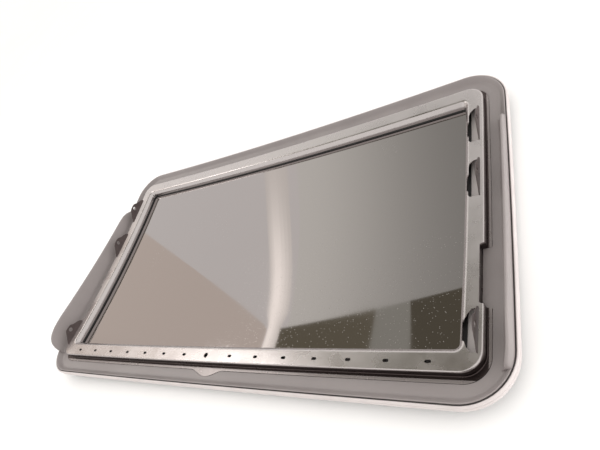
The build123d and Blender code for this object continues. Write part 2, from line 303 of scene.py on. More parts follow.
# Float glass is optically flat, so the coating mirrors sharply. Dust specks about
# 1 mm wide lie in loose patches and in the near corner, under a faint wipe haze.
SPECK_SPACING = 3.85 * MM
DUST_PATCH = 111 * MM
WIPE_HAZE = 200 * MM
place = add_node(tree, "ShaderNodeTexCoord")
specks = add_node(tree, "ShaderNodeTexVoronoi", {
    "Vector": place.outputs["Object"], "Scale": 1 / SPECK_SPACING})
speck_mask = add_node(tree, "ShaderNodeMapRange", {
    "Value": specks.outputs["Distance"], "From Min": 0.08, "From Max": 0.17,
    "To Min": 0.45, "To Max": 0.0})
patches = add_node(tree, "ShaderNodeTexNoise", {
    "Vector": place.outputs["Object"], "Scale": 1 / DUST_PATCH, "Detail": 3.0})
patch_mask = add_node(tree, "ShaderNodeMapRange", {
    "Value": patches.outputs["Fac"], "From Min": 0.52, "From Max": 0.66})
axes = add_node(tree, "ShaderNodeSeparateXYZ", {0: place.outputs["Object"]})
to_right = add_node(tree, "ShaderNodeMapRange", {
    "Value": axes.outputs["X"], "From Min": -0.1, "From Max": 0.15})
to_front = add_node(tree, "ShaderNodeMapRange", {
    "Value": axes.outputs["Y"], "From Min": -0.02, "From Max": -0.1})
corner_share = add_node(tree, "ShaderNodeMath", {
    0: to_right.outputs[0], 1: to_front.outputs[0]}, operation="MULTIPLY")
dusty = add_node(tree, "ShaderNodeMath", {
    0: corner_share.outputs[0], 1: patch_mask.outputs[0]}, operation="MAXIMUM")
dust = add_node(tree, "ShaderNodeMath", {
    0: speck_mask.outputs[0], 1: dusty.outputs[0]}, operation="MULTIPLY")
haze = add_node(tree, "ShaderNodeTexNoise", {
    "Vector": place.outputs["Object"], "Scale": 1 / WIPE_HAZE, "Detail": 6.0})
gloss = add_node(tree, "ShaderNodeMapRange", {
    "Value": haze.outputs["Fac"], "From Min": 0.35, "From Max": 0.75,
    "To Min": 0.015, "To Max": 0.06})
rough = add_node(tree, "ShaderNodeMath", {0: dust.outputs[0], 1: gloss.outputs[0]}, operation="ADD")
tint = add_node(tree, "ShaderNodeMix", {
    0: dust.outputs[0], 6: linear("#a49e9d"), 7: linear("#b9b4ae")}, data_type="RGBA")
# A pale primer is wiped round the edge of the inner face, where the frame is bonded.
past = []
for axis, limit in (("X", PRIMER_X), ("Y", PRIMER_Y)):
    distance = add_node(tree, "ShaderNodeMath", {0: axes.outputs[axis]}, operation="ABSOLUTE")
    past.append(add_node(tree, "ShaderNodeMath", {
        0: distance.outputs[0], 1: limit}, operation="GREATER_THAN"))
primed = add_node(tree, "ShaderNodeMath", {
    0: past[0].outputs[0], 1: past[1].outputs[0]}, operation="MAXIMUM")
tint = add_node(tree, "ShaderNodeMix", {
    0: primed.outputs[0], 6: tint.outputs[2], 7: linear("#d8d0cd")}, data_type="RGBA")
bare = add_node(tree, "ShaderNodeMath", {0: 1.0, 1: primed.outputs[0]}, operation="SUBTRACT")
rough = add_node(tree, "ShaderNodeMix", {
    0: primed.outputs[0], 2: rough.outputs[0], 3: 0.6}, data_type="FLOAT")
finish_material(tree, add_node(tree, "ShaderNodeBsdfPrincipled", {
    "Base Color": tint.outputs[2], "Metallic": bare.outputs[0], "Roughness": rough.outputs[0]}))

outer_glass, tree = new_material("tinted_float_glass_with_ceramic_border")
# Seen from outside the pane is a near-black green with a wet shine, and the
# ceramic border reads as a deeper black that breaks into dots 2.4 mm apart.
DOT_SPACING = 2.38 * MM
DOT_FADE = 14 * MM           # how far the dots reach in from the border
place = add_node(tree, "ShaderNodeTexCoord")
axes = add_node(tree, "ShaderNodeSeparateXYZ", {0: place.outputs["Object"]})
beyond = []
for axis, limit in (("X", BORDER_X), ("Y", BORDER_Y)):
    distance = add_node(tree, "ShaderNodeMath", {0: axes.outputs[axis]}, operation="ABSOLUTE")
    beyond.append(add_node(tree, "ShaderNodeMath", {
        0: distance.outputs[0], 1: limit}, operation="SUBTRACT"))
edge = add_node(tree, "ShaderNodeMath", {
    0: beyond[0].outputs[0], 1: beyond[1].outputs[0]}, operation="MAXIMUM")
dots = add_node(tree, "ShaderNodeTexVoronoi", {
    "Vector": place.outputs["Object"], "Scale": 1 / DOT_SPACING, "Randomness": 0.0})
dot_size = add_node(tree, "ShaderNodeMapRange", {
    "Value": edge.outputs[0], "From Min": -DOT_FADE, "From Max": 0.0,
    "To Min": 0.0, "To Max": 0.75})
printed = add_node(tree, "ShaderNodeMath", {
    0: dots.outputs["Distance"], 1: dot_size.outputs[0]}, operation="LESS_THAN")
body_tone = add_node(tree, "ShaderNodeMix", {
    0: printed.outputs[0], 6: linear("#1b211e"), 7: linear("#060606")}, data_type="RGBA")
finish_material(tree, add_node(tree, "ShaderNodeBsdfPrincipled", {
    "Base Color": body_tone.outputs[2], "Roughness": 0.03, "IOR": 1.52}))


def make_pane():
    """A bowed slab with rounded corners, from a fine grid."""
    columns, rows = 86, 50
    half_x, half_y = pane_high.x, pane_high.y
    points = []
    for level in (PANE_TOP, PANE_TOP - PANE_THICKNESS):
        for j in range(rows + 1):
            for i in range(columns + 1):
                x = half_x * (2 * i / columns - 1)
                y = half_y * (2 * j / rows - 1)
                past = Vector((max(abs(x) - half_x + PANE_CORNER, 0),
                               max(abs(y) - half_y + PANE_CORNER, 0)))
                if past.x > 0 and past.y > 0:
                    # squeeze the square corner of the grid on to the round one
                    stretch = max(past.x, past.y) / past.length
                    x = math.copysign(half_x - PANE_CORNER + past.x * stretch, x)
                    y = math.copysign(half_y - PANE_CORNER + past.y * stretch, y)
                points.append((x, y, lift(x, y, level)))
    across_count = columns + 1
    layer = across_count * (rows + 1)
    faces = []
    for j in range(rows):
        for i in range(columns):
            a = j * across_count + i
            faces.append((a, a + 1, a + across_count + 1, a + across_count))
            b = layer + a
            faces.append((b, b + across_count, b + across_count + 1, b + 1))
    rim_loop = list(range(columns))
    rim_loop += [columns + j * across_count for j in range(rows)]
    rim_loop += [rows * across_count + i for i in range(columns, 0, -1)]
    rim_loop += [j * across_count for j in range(rows, 0, -1)]
    for a, b in zip(rim_loop, rim_loop[1:] + rim_loop[:1]):
        faces.append((a, layer + a, layer + b, b))
    return points, faces


pane_points, pane_faces = make_pane()
pane = add_object("glass_pane_bent", pane_points, pane_faces, coated, smooth=True)
pane.data.materials.append(outer_glass)
for polygon in pane.data.polygons:
    polygon.material_index = 0 if polygon.normal.z > 0.5 else 1
pane.data.set_sharp_from_angle(angle=math.radians(40))
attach(pane, "root")
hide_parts("glass_pane")

# --- Adhesive bead ----------------------------------------------------------------
# A gunned bead of black polyurethane between the pane and the frame's lip. It
# skins over with a dull sheen and keeps the slight swells of the nozzle.
# Every ring round the lid has its cross-sections at these places: evenly spaced,
# and closer at the ends of the side rails' step and along the front tab.
STEP_ENDS = (-142 * MM, -60 * MM)      # step in the outer edge of the side rails
TAB_HALF_WIDTH = 34 * MM               # front tab of the frame's flange
CORNER_STEPS = 14
side_places = [y * MM for y in range(-180, 181, 12)]
for end in STEP_ENDS:
    side_places += [end + offset * MM for offset in (-3, -2, -1, 0, 1, 2, 3)]
side_places = sorted(set(side_places))
long_places = [x * MM for x in range(-370, 371, 10)]
long_places += [x * MM for x in range(-34, 35, 2)]
long_places = sorted(set(long_places))


def plan_loop(half_x, half_y, corner):
    """Plan points of a rounded rectangle, the same count for every size."""
    loop = [(half_x, y) for y in side_places]
    for sign_x, sign_y, start in ((1, 1, 0), (-1, 1, 90), (-1, -1, 180), (1, -1, 270)):
        centre_x = sign_x * (half_x - corner)
        centre_y = sign_y * (half_y - corner)
        for step in range(CORNER_STEPS + 1):
            angle = math.radians(start + 90 * step / CORNER_STEPS)
            loop.append((centre_x + corner * math.cos(angle), centre_y + corner * math.sin(angle)))
        if start == 0:
            loop += [(x, half_y) for x in reversed(long_places)]
        elif start == 90:
            loop += [(-half_x, y) for y in reversed(side_places)]
        elif start == 180:
            loop += [(x, -half_y) for x in long_places]
    return loop


def soften(section, steps=3):
    """Rounds the corners of a closed section by the last number of each row."""
    rows = []
    count = len(section)
    for i, row in enumerate(section):
        here = Vector(row[:4])
        radius = row[4]
        if radius <= 0:
            rows.append(here)
            continue
        ends = []
        for near in (section[i - 1], section[(i + 1) % count]):
            gap = Vector(near[:4]) - here
            reach = math.hypot(max(abs(gap[0]), abs(gap[1])), gap[3])
            ends.append(here + gap * min(0.48, radius / reach))
        for step in range(steps + 1):
            t = step / steps
            rows.append(ends[0] * (1 - t) ** 2 + here * 2 * t * (1 - t) + ends[1] * t * t)
    return rows


def apply_modifiers(target):
    """Bakes an object's modifiers into its mesh."""
    depsgraph = bpy.context.evaluated_depsgraph_get()
    shaped = bpy.data.meshes.new_from_object(target.evaluated_get(depsgraph))
    target.modifiers.clear()
    target.data = shaped


def even_shading(target, angle):
    """Smooth shading that leaves broad flat faces flat and breaks at sharp edges."""
    target.data.set_sharp_from_angle(angle=math.radians(angle))
    modifier = target.modifiers.new("even", "WEIGHTED_NORMAL")
    modifier.weight = 100
    modifier.keep_sharp = True
    apply_modifiers(target)


def add_ring(name, section, material, adjust=None, steps=3):
    """A closed section, in mm, carried round the bowed lid. Each row of it is
    (half x, half y, corner radius in plan, height, softening of the edge)."""
    rows = soften(section, steps)
    points = []
    for row in rows:
        half_x, half_y, corner, height = row * MM
        for x, y in plan_loop(half_x, half_y, corner):
            if adjust:
                x, y = adjust(x, y)
            points.append((x, y, lift(x, y, height)))
    around = len(points) // len(rows)
    faces = []
    for j in range(len(rows)):
        k = (j + 1) % len(rows)
        for i in range(around):
            n = (i + 1) % around
            faces.append((j * around + i, j * around + n, k * around + n, k * around + i))
    ring = add_object(name, points, faces, material, smooth=True)
    ring.data.validate()
    even_shading(ring, 38)
    return ring


adhesive, tree = new_material("cured_black_polyurethane")
# The gunned skin is black and uneven, with soft glints where it swells and
# dull dips between, about 6 mm apart.
SKIN_SWELL = 6.25 * MM
place = add_node(tree, "ShaderNodeTexCoord")
swell = add_node(tree, "ShaderNodeTexNoise", {
    "Vector": place.outputs["Object"], "Scale": 1 / SKIN_SWELL, "Detail": 3.0})
sheen = add_node(tree, "ShaderNodeMapRange", {
    "Value": swell.outputs["Fac"], "To Min": 0.35, "To Max": 0.6})
relief = add_node(tree, "ShaderNodeBump", {
    "Height": swell.outputs["Fac"], "Strength": 0.5, "Distance": 0.6 * MM})
tone = add_node(tree, "ShaderNodeMix", {
    0: swell.outputs["Fac"], 6: linear("#0d0c0c"), 7: linear("#1c1a1a")}, data_type="RGBA")
finish_material(tree, add_node(tree, "ShaderNodeBsdfPrincipled", {
    "Base Color": tone.outputs[2], "Roughness": sheen.outputs[0], "Normal": relief.outputs[0]}))

BEAD_EDGE_X = 380 * MM       # the bead's free edge, seen round the window
BEAD_EDGE_Y = 191 * MM
EDGE_BAND = 3 * MM           # only points this near the free edge are pushed
SWELLS = 64                  # swells round the lid
DEEPEST_SWELL = 0.3          # mm
random.seed(7)
bead_swell = [random.uniform(-DEEPEST_SWELL, 0.0) * MM for _ in range(SWELLS)]


def swell_bead(x, y):
    """Lets the bead's free edge swell a little way into the window."""
    index = int((math.atan2(y, x) / math.tau + 0.5) * SWELLS) % SWELLS
    at_edge = abs(x) < BEAD_EDGE_X + 4 * MM and abs(y) < BEAD_EDGE_Y + 3.5 * MM
    push = bead_swell[index] if at_edge else 0
    if abs(abs(x) - BEAD_EDGE_X) < EDGE_BAND:
        x -= math.copysign(push, x)
    if abs(abs(y) - BEAD_EDGE_Y) < EDGE_BAND:
        y -= math.copysign(push, y)
    return x, y


bead = add_ring("adhesive_bead_gunned", [
    (380.2, 191.2, 6.0, -15.0, 0.0),      # foot on the glass
    (380.0, 191.0, 6.0, -13.4, 0.9),      # free edge
    (381.2, 192.2, 7.0, -12.5, 0.4),      # top, under the foot of the lip
    (387.0, 198.0, 12.0, -12.5, 0.0),     # hidden side under the frame
    (387.0, 198.0, 12.0, -15.0, 0.0)], adhesive, swell_bead)
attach(bead, "root")
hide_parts("adhesive_bead")

# --- Inner frame --------------------------------------------------------------------
# One pressing of 1.4 mm drawing steel, zinc plated: a lip round the window, a
# flat face, an outer wall and a bonding flange. Six lugs are lanced from the
# side rails and bent up, which leaves a pocket beside each one.
plated, tree = new_material("zinc_plated_pressed_steel")
# Fresh zinc over drawn steel is a soft satin silver with a warm cast. It keeps a
# faint orange peel from the draw, 3 mm across, and clouds where it was handled.
HANDLING_CLOUD = 45.5 * MM
ORANGE_PEEL = 3.03 * MM
place = add_node(tree, "ShaderNodeTexCoord")
cloud = add_node(tree, "ShaderNodeTexNoise", {
    "Vector": place.outputs["Object"], "Scale": 1 / HANDLING_CLOUD, "Detail": 5.0})
fine = add_node(tree, "ShaderNodeTexNoise", {
    "Vector": place.outputs["Object"], "Scale": 1 / ORANGE_PEEL, "Detail": 4.0})
satin = add_node(tree, "ShaderNodeMapRange", {
    "Value": cloud.outputs["Fac"], "From Min": 0.3, "From Max": 0.7, "To Min": 0.2, "To Max": 0.34})
tone = add_node(tree, "ShaderNodeMix", {
    0: cloud.outputs["Fac"], 6: linear("#b7b1b0"), 7: linear("#c5bfbe")}, data_type="RGBA")
# Painted shade: the outer wall, from just under the face, and the inner part of the
# flange are darkened for the shade at the wall's foot. The rest of the flange is a thin, paler wiped
# primer.
WALL_SHADE_STARTS = FACE_LEVEL - 1.4 * MM
WALL_SHADE_FULL = FACE_LEVEL - 3.6 * MM
FLANGE_LEVEL = FACE_LEVEL - 12.4 * MM
OUTER_WALL = (399 * MM, 212 * MM)      # farther out than this lies the outer wall
WALL_SHADE_EDGE = (410.0 * MM, 224.2 * MM)   # where the painted shade ends on the flange
axes = add_node(tree, "ShaderNodeSeparateXYZ", {0: place.outputs["Object"]})
bow = []
for axis, radius in (("X", BOW_RADIUS_X), ("Y", BOW_RADIUS_Y)):
    square = add_node(tree, "ShaderNodeMath", {
        0: axes.outputs[axis], 1: axes.outputs[axis]}, operation="MULTIPLY")
    bow.append(add_node(tree, "ShaderNodeMath", {
        0: square.outputs[0], 1: 2 * radius}, operation="DIVIDE"))
bow_sum = add_node(tree, "ShaderNodeMath", {
    0: bow[0].outputs[0], 1: bow[1].outputs[0]}, operation="ADD")
level = add_node(tree, "ShaderNodeMath", {
    0: axes.outputs["Z"], 1: bow_sum.outputs[0]}, operation="SUBTRACT")
below_face = add_node(tree, "ShaderNodeMapRange", {
    "Value": level.outputs[0], "From Min": WALL_SHADE_STARTS, "From Max": WALL_SHADE_FULL})
above_flange = add_node(tree, "ShaderNodeMapRange", {
    "Value": level.outputs[0], "From Min": FLANGE_LEVEL, "From Max": FLANGE_LEVEL + 1.0 * MM})
past = []
for axis, limit in zip("XY", OUTER_WALL):
    distance = add_node(tree, "ShaderNodeMath", {0: axes.outputs[axis]}, operation="ABSOLUTE")
    past.append(add_node(tree, "ShaderNodeMath", {
        0: distance.outputs[0], 1: limit}, operation="GREATER_THAN"))
outside = add_node(tree, "ShaderNodeMath", {
    0: past[0].outputs[0], 1: past[1].outputs[0]}, operation="MAXIMUM")
near_wall = []
for axis, limit in zip("XY", WALL_SHADE_EDGE):
    distance = add_node(tree, "ShaderNodeMath", {0: axes.outputs[axis]}, operation="ABSOLUTE")
    near_wall.append(add_node(tree, "ShaderNodeMath", {
        0: distance.outputs[0], 1: limit}, operation="LESS_THAN"))
in_corner = add_node(tree, "ShaderNodeMath", {
    0: near_wall[0].outputs[0], 1: near_wall[1].outputs[0]}, operation="MULTIPLY")
in_corner = add_node(tree, "ShaderNodeMath", {
    0: in_corner.outputs[0], 1: above_flange.outputs[0]}, operation="MAXIMUM")
painted_wall_shade = add_node(tree, "ShaderNodeMath", {
    0: below_face.outputs[0], 1: in_corner.outputs[0]}, operation="MULTIPLY")
painted_wall_shade = add_node(tree, "ShaderNodeMath", {
    0: painted_wall_shade.outputs[0], 1: outside.outputs[0]}, operation="MULTIPLY")
# Painted shade: the steel turns a dark brown-grey where the mask marks the shade at the wall's foot.
tone = add_node(tree, "ShaderNodeMix", {
    0: painted_wall_shade.outputs[0], 6: tone.outputs[2], 7: linear("#4e4544")}, data_type="RGBA")
on_flange = add_node(tree, "ShaderNodeMapRange", {
    "Value": level.outputs[0], "From Min": FLANGE_LEVEL + 0.6 * MM,
    "From Max": FLANGE_LEVEL - 0.1 * MM})
wiped = add_node(tree, "ShaderNodeMath", {
    0: on_flange.outputs[0], 1: painted_wall_shade.outputs[0]}, operation="SUBTRACT", use_clamp=True)
wiped = add_node(tree, "ShaderNodeMath", {
    0: wiped.outputs[0], 1: outside.outputs[0]}, operation="MULTIPLY")
tone = add_node(tree, "ShaderNodeMix", {
    0: wiped.outputs[0], 6: tone.outputs[2], 7: linear("#9a9290")}, data_type="RGBA")
wiped = add_node(tree, "ShaderNodeMath", {0: wiped.outputs[0], 1: 0.5}, operation="MULTIPLY")
bare = add_node(tree, "ShaderNodeMath", {0: 1.0, 1: wiped.outputs[0]}, operation="SUBTRACT")
relief = add_node(tree, "ShaderNodeBump", {
    "Height": fine.outputs["Fac"], "Strength": 0.015, "Distance": 0.02 * MM})
finish_material(tree, add_node(tree, "ShaderNodeBsdfPrincipled", {
    "Base Color": tone.outputs[2], "Metallic": bare.outputs[0], "Roughness": satin.outputs[0],
    "Normal": relief.outputs[0]}))

STEP_X = 401.5 * MM          # outer edge of a side rail within the step
STEP_RAMP = 2.0 * MM         # length over which the edge steps in
STEP_DRAW = 0.08             # share that is left of what lay beyond that edge
TAB_REACH = 10 * MM


def in_step(y):
    """How far inside the step a point of a side rail lies, from 0 to 1."""
    near_end = min(y - STEP_ENDS[0], STEP_ENDS[1] - y) / STEP_RAMP
    return max(0.0, min(near_end, 1.0))


def tab_reach(x):
    """How far the bell-shaped front tab stands out at this point."""
    return TAB_REACH * (0.5 + 0.5 * math.cos(math.pi * x / TAB_HALF_WIDTH)) ** 0.85


FLANGE_FRONT = -226 * MM     # points beyond this belong to the flange's front edge


def shape_frame(x, y):
    """Steps the side rails in between the step's ends and draws out the front tab."""
    if abs(x) > STEP_X:
        stepped = STEP_X + (abs(x) - STEP_X) * STEP_DRAW
        x = math.copysign(abs(x) + (stepped - abs(x)) * in_step(y), x)
    if y < FLANGE_FRONT and abs(x) < TAB_HALF_WIDTH:
        y -= tab_reach(x)
    return x, y


pressing = add_ring("inner_frame_pressing", [
    (381.0, 192.0, 6.6, -12.4, 0.5),      # foot of the lip
    (381.0, 192.0, 6.6, -7.0, 2.0),       # upright lip, then its slope
    (386.0, 197.0, 10.0, 0.0, 2.4),       # inner edge of the flat face
    (408.0, 220.0, 25.0, 0.0, 2.6),       # outer edge of the face
    (408.0, 220.0, 25.0, -12.6, 1.6),     # foot of the outer wall
    (413.0, 228.0, 30.0, -12.6, 0.4),     # edge of the flange
    (413.0, 228.0, 30.0, -14.0, 0.4),     # and back along the underside
    (406.6, 218.6, 23.6, -14.0, 1.0),
    (406.6, 218.6, 23.6, -1.4, 1.4),
    (387.0, 198.0, 10.5, -1.4, 1.2),
    (382.4, 193.4, 8.0, -7.4, 1.2),
    (382.4, 193.4, 8.0, -12.4, 0.5)], plated, shape_frame, steps=5)


def add_cutter(outline, low, high):
    """An upright prism over a plan outline, for cutting the sheet."""
    count = len(outline)
    points = [(x, y, z) for z in (low, high) for x, y in outline]
    faces = [tuple(reversed(range(count))), tuple(range(count, 2 * count))]
    faces += [(i, (i + 1) % count, count + (i + 1) % count, count + i) for i in range(count)]
    return add_object("cutter", points, faces, plated)


def cut(target, cutters):
    """Cuts every cutter out of the target and throws the cutters away."""
    for cutter in cutters:
        modifier = target.modifiers.new("cut", "BOOLEAN")
        modifier.operation = "DIFFERENCE"
        modifier.solver = "EXACT"
        modifier.object = cutter
    apply_modifiers(target)
    for cutter in cutters:
        bpy.data.objects.remove(cutter)


def capsule(centre_x, centre_y, half_length, radius, steps=10):
    """Outline of a slot with round ends along X, or of a circle."""
    outline = []
    for side, start in ((1, -90), (-1, 90)):
        for step in range(steps + 1):
            angle = math.radians(start + 180 * step / steps)
            outline.append((centre_x + side * half_length + radius * math.cos(angle),
                            centre_y + radius * math.sin(angle)))
    return outline


# A pocket is what a lug leaves behind, so it runs along the rail beside the bend
# line, and its far side has the outline of the lug: a narrow tip between slopes.
# Points are (across, along) in mm on the right-hand side, from rear to front.
BEND = 401.2                 # the bend line, where the pocket meets its lug
TIP = 384.0                  # where the lug's tip was cut from
TIP_REAR = 387.0             # the ledges on each side of the tip
TIP_FRONT = 386.5
POCKETS = {
    "rear": [(BEND, 174.0), (395.0, 174.0), (389.0, 168.0), (TIP_REAR, 162.0), (TIP_REAR, 150.5),
             (TIP, 148.0), (TIP, 125.0), (TIP_FRONT, 122.0), (TIP_FRONT, 114.0), (389.0, 110.5),
             (BEND, 110.5)],
    "middle": [(BEND, 75.6), (394.0, 75.6), (388.0, 71.0), (TIP_REAR, 64.0), (TIP_REAR, 52.0),
               (TIP, 49.0), (TIP, 26.0), (TIP_FRONT, 23.0), (TIP_FRONT, 17.0), (389.0, 13.2),
               (BEND, 13.2)],
    "front": [(BEND, -146.5), (395.0, -147.0), (390.0, -153.0), (TIP_FRONT, -160.0), (TIP, -162.0),
              (TIP, -184.0), (387.5, -186.0), (389.5, -192.0), (394.0, -197.5), (BEND, -199.0)],
}
# The front rail has a row of slots, and a round hole in place of the middle one.
HOLE_PITCH = 50 * MM
HOLE_Y = -209 * MM
SLOTS_EACH_SIDE = 7
SLOT_HALF_LENGTH = 1.75 * MM           # half the way between the centres of its ends
SLOT_RADIUS = 2.0 * MM
ROUND_HOLE_RADIUS = 4.0 * MM
cutters = []
for outline in POCKETS.values():
    for side in (-1, 1):
        pocket = [(side * x * MM, y * MM) for x, y in outline]
        middle = sum(y for _, y in pocket) / len(pocket)
        base = lift(401 * MM, middle, 0)
        cutters.append(add_cutter(pocket, base - 6 * MM, base + 8 * MM))
for count in range(-SLOTS_EACH_SIDE, SLOTS_EACH_SIDE + 1):
    x = count * HOLE_PITCH
    base = lift(x, HOLE_Y, 0)
    if count == 0:
        outline = capsule(x, HOLE_Y, 0.0, ROUND_HOLE_RADIUS)
    else:
        outline = capsule(x, HOLE_Y, SLOT_HALF_LENGTH, SLOT_RADIUS)
    cutters.append(add_cutter(outline, base - 5 * MM, base + 5 * MM))
cut(pressing, cutters)

# Each lug is the rounded tab from its pocket, bent upright on the bend line.
lug_painted_shade, tree = new_material("lug_steel_painted_shade")
# Painted shade: the lugs are lanced from the plated sheet, but they stand in shade, so they
# are drawn in a brown-black satin, mottled in marks 8 mm long.
LUG_MOTTLE_SIZE = 8.33 * MM
place = add_node(tree, "ShaderNodeTexCoord")
lug_mottle = add_node(tree, "ShaderNodeTexNoise", {
    "Vector": place.outputs["Object"], "Scale": 1 / LUG_MOTTLE_SIZE, "Detail": 4.0})
# Painted shade: a dark brown-black tone in place of the plated steel's silver.
tone = add_node(tree, "ShaderNodeMix", {
    0: lug_mottle.outputs["Fac"], 6: linear("#3a3130"), 7: linear("#574c4a")}, data_type="RGBA")
sheen = add_node(tree, "ShaderNodeMapRange", {"Value": lug_mottle.outputs["Fac"], "To Min": 0.3, "To Max": 0.5})
finish_material(tree, add_node(tree, "ShaderNodeBsdfPrincipled", {
    "Base Color": tone.outputs[2], "Roughness": sheen.outputs[0], "IOR": 1.5}))
LUG_X = 401.0 * MM
SHEET = 1.4 * MM
EDGE_BREAK = 0.25 * MM       # the plate's edges are broken by this much
LUG_HOLE_RADIUS = 4.25 * MM
LUG_HOLE_HEIGHT = 13 * MM
LUG_HOLE_STEPS = 24
# (share of the lug's length along the rail, height in mm), from its front foot
# over the blunt tip to its rear foot.
LUG_OUTLINE = [(-0.5, -0.7), (-0.5, 2.5), (-0.42, 6.0), (-0.22, 15.5), (-0.17, 18.6),
               (-0.10, 19.9), (0.08, 19.9), (0.15, 18.6), (0.22, 14.5), (0.36, 10.0),
               (0.46, 6.5), (0.5, 3.0), (0.5, -0.7)]


def add_lug(name, side, front_y, rear_y):
    """One upright lug plate with its round hole, square to the bowed rail."""
    middle = (front_y + rear_y) / 2
    span = rear_y - front_y
    outline = [Vector((share * span, height * MM)) for share, height in LUG_OUTLINE]
    turns = [math.tau * step / LUG_HOLE_STEPS for step in range(LUG_HOLE_STEPS)]
    hole = [Vector((LUG_HOLE_RADIUS * math.cos(turn), LUG_HOLE_HEIGHT + LUG_HOLE_RADIUS * math.sin(turn)))
            for turn in turns]
    curve = bpy.data.curves.new("lug_outline", "CURVE")
    curve.dimensions = "2D"
    curve.fill_mode = "BOTH"
    curve.extrude = SHEET / 2 - EDGE_BREAK
    curve.bevel_depth = EDGE_BREAK
    curve.bevel_resolution = 2
    for loop in (outline, hole):
        spline = curve.splines.new("POLY")
        spline.points.add(len(loop) - 1)
        for point, p in zip(spline.points, loop):
            point.co = (p.x, p.y, 0, 1)
        spline.use_cyclic_u = True
    maker = bpy.data.objects.new("lug_maker", curve)
    bpy.context.scene.collection.objects.link(maker)
    depsgraph = bpy.context.evaluated_depsgraph_get()
    mesh = bpy.data.meshes.new_from_object(maker.evaluated_get(depsgraph))
    bpy.data.objects.remove(maker)
    # stand the flat plate up along the rail, lean it with the bow and carry it there
    upright = Matrix(((0, 0, 1, 0), (1, 0, 0, 0), (0, 1, 0, 0), (0, 0, 0, 1)))
    lean = Matrix.Rotation(math.asin(middle / BOW_RADIUS_Y), 4, "X")
    carry = Matrix.Translation((side * (LUG_X + SHEET / 2), middle, lift(LUG_X, middle, 0)))
    mesh.transform(carry @ lean @ upright)
    made = bpy.data.objects.new(name, mesh)
    made.data.materials.clear()
    made.data.materials.append(lug_painted_shade)
    bpy.context.scene.collection.objects.link(made)
    for polygon in made.data.polygons:
        polygon.use_smooth = True
    made.data.set_sharp_from_angle(angle=math.radians(40))
    return made


# front and rear end of each lug along the rail, in mm
LUG_SPANS = {"rear": (110.5, 174.0), "middle": (13.2, 75.6), "front": (-199.0, -146.3)}
for place_name, (front_y, rear_y) in LUG_SPANS.items():
    for side, side_name in ((-1, "left"), (1, "right")):
        lug = add_lug(f"lug_{side_name}_{place_name}", side, front_y * MM, rear_y * MM)
        lug.visible_glossy = False      # no dark lug shapes in the pane or the frame
        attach(lug, "root")
even_shading(pressing, 38)
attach(pressing, "root")
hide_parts("inner_frame")

# --- Moulded rim and side walls -------------------------------------------------------
# Reaction-moulded grey polyurethane cast round the edge of the pane. It forms a
# flat band, a bank at the outer edge and, on the short sides, an upright wall.
moulded, tree = new_material("moulded_grey_polyurethane")
# The mould was spark eroded, so the skin has a fine 0.5 mm grain and a low even
# sheen, drawn here at 0.8 mm so that it shows. Release wax leaves broad clouds.
MOULD_GRAIN = 0.8 * MM
WAX_CLOUD = 71.4 * MM
place = add_node(tree, "ShaderNodeTexCoord")
cloud = add_node(tree, "ShaderNodeTexNoise", {
    "Vector": place.outputs["Object"], "Scale": 1 / WAX_CLOUD, "Detail": 6.0})
grain = add_node(tree, "ShaderNodeTexNoise", {
    "Vector": place.outputs["Object"], "Scale": 1 / MOULD_GRAIN, "Detail": 2.0})
tone = add_node(tree, "ShaderNodeMix", {
    0: cloud.outputs["Fac"], 6: linear("#837b7a"), 7: linear("#9a9290")}, data_type="RGBA")
sheen = add_node(tree, "ShaderNodeMapRange", {
    "Value": cloud.outputs["Fac"], "From Min": 0.3, "From Max": 0.7, "To Min": 0.34, "To Max": 0.48})
relief = add_node(tree, "ShaderNodeBump", {
    "Height": grain.outputs["Fac"], "Strength": 0.25, "Distance": 0.1 * MM})
finish_material(tree, add_node(tree, "ShaderNodeBsdfPrincipled", {
    "Base Color": tone.outputs[2], "Roughness": sheen.outputs[0], "IOR": 1.5,
    "Normal": relief.outputs[0]}))


RIM_INNER_X = 416 * MM       # points nearer the middle than this are its inner edge
RIM_INNER_Y = -229.5 * MM
STEP_FILL = 10.8 * MM        # how far the inner edge comes in at the step


def fill_recess(x, y):
    """Brings the rim's inner edge in to meet the stepped rails, and out round the tab."""
    if abs(x) < RIM_INNER_X:
        x = math.copysign(abs(x) - STEP_FILL * in_step(y), x)
    if RIM_INNER_Y < y < FLANGE_FRONT and abs(x) < TAB_HALF_WIDTH:
        y -= tab_reach(x)
    return x, y


rim = add_ring("rim_moulding_cast", [
    (413.4, 228.4, 30.0, -14.9, 0.0),     # inner edge on the glass
    (413.4, 228.4, 30.0, -13.1, 0.3),
    (423.0, 239.0, 42.0, -13.2, 2.0),     # flat band
    (429.0, 244.0, 50.0, -12.6, 3.0),     # foot of the bank
    (434.8, 249.4, 56.4, -5.2, 2.5),      # crest of the bank
    (436.4, 251.0, 58.0, -4.7, 0.8),
    (436.4, 251.0, 58.0, -19.8, 0.6),     # outer face, down past the pane's edge
    (430.1, 245.1, 52.1, -19.8, 0.2),
    (430.1, 245.1, 52.1, -14.9, 0.0)], moulded, fill_recess, steps=4)
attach(rim, "root")
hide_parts("rim_moulding")

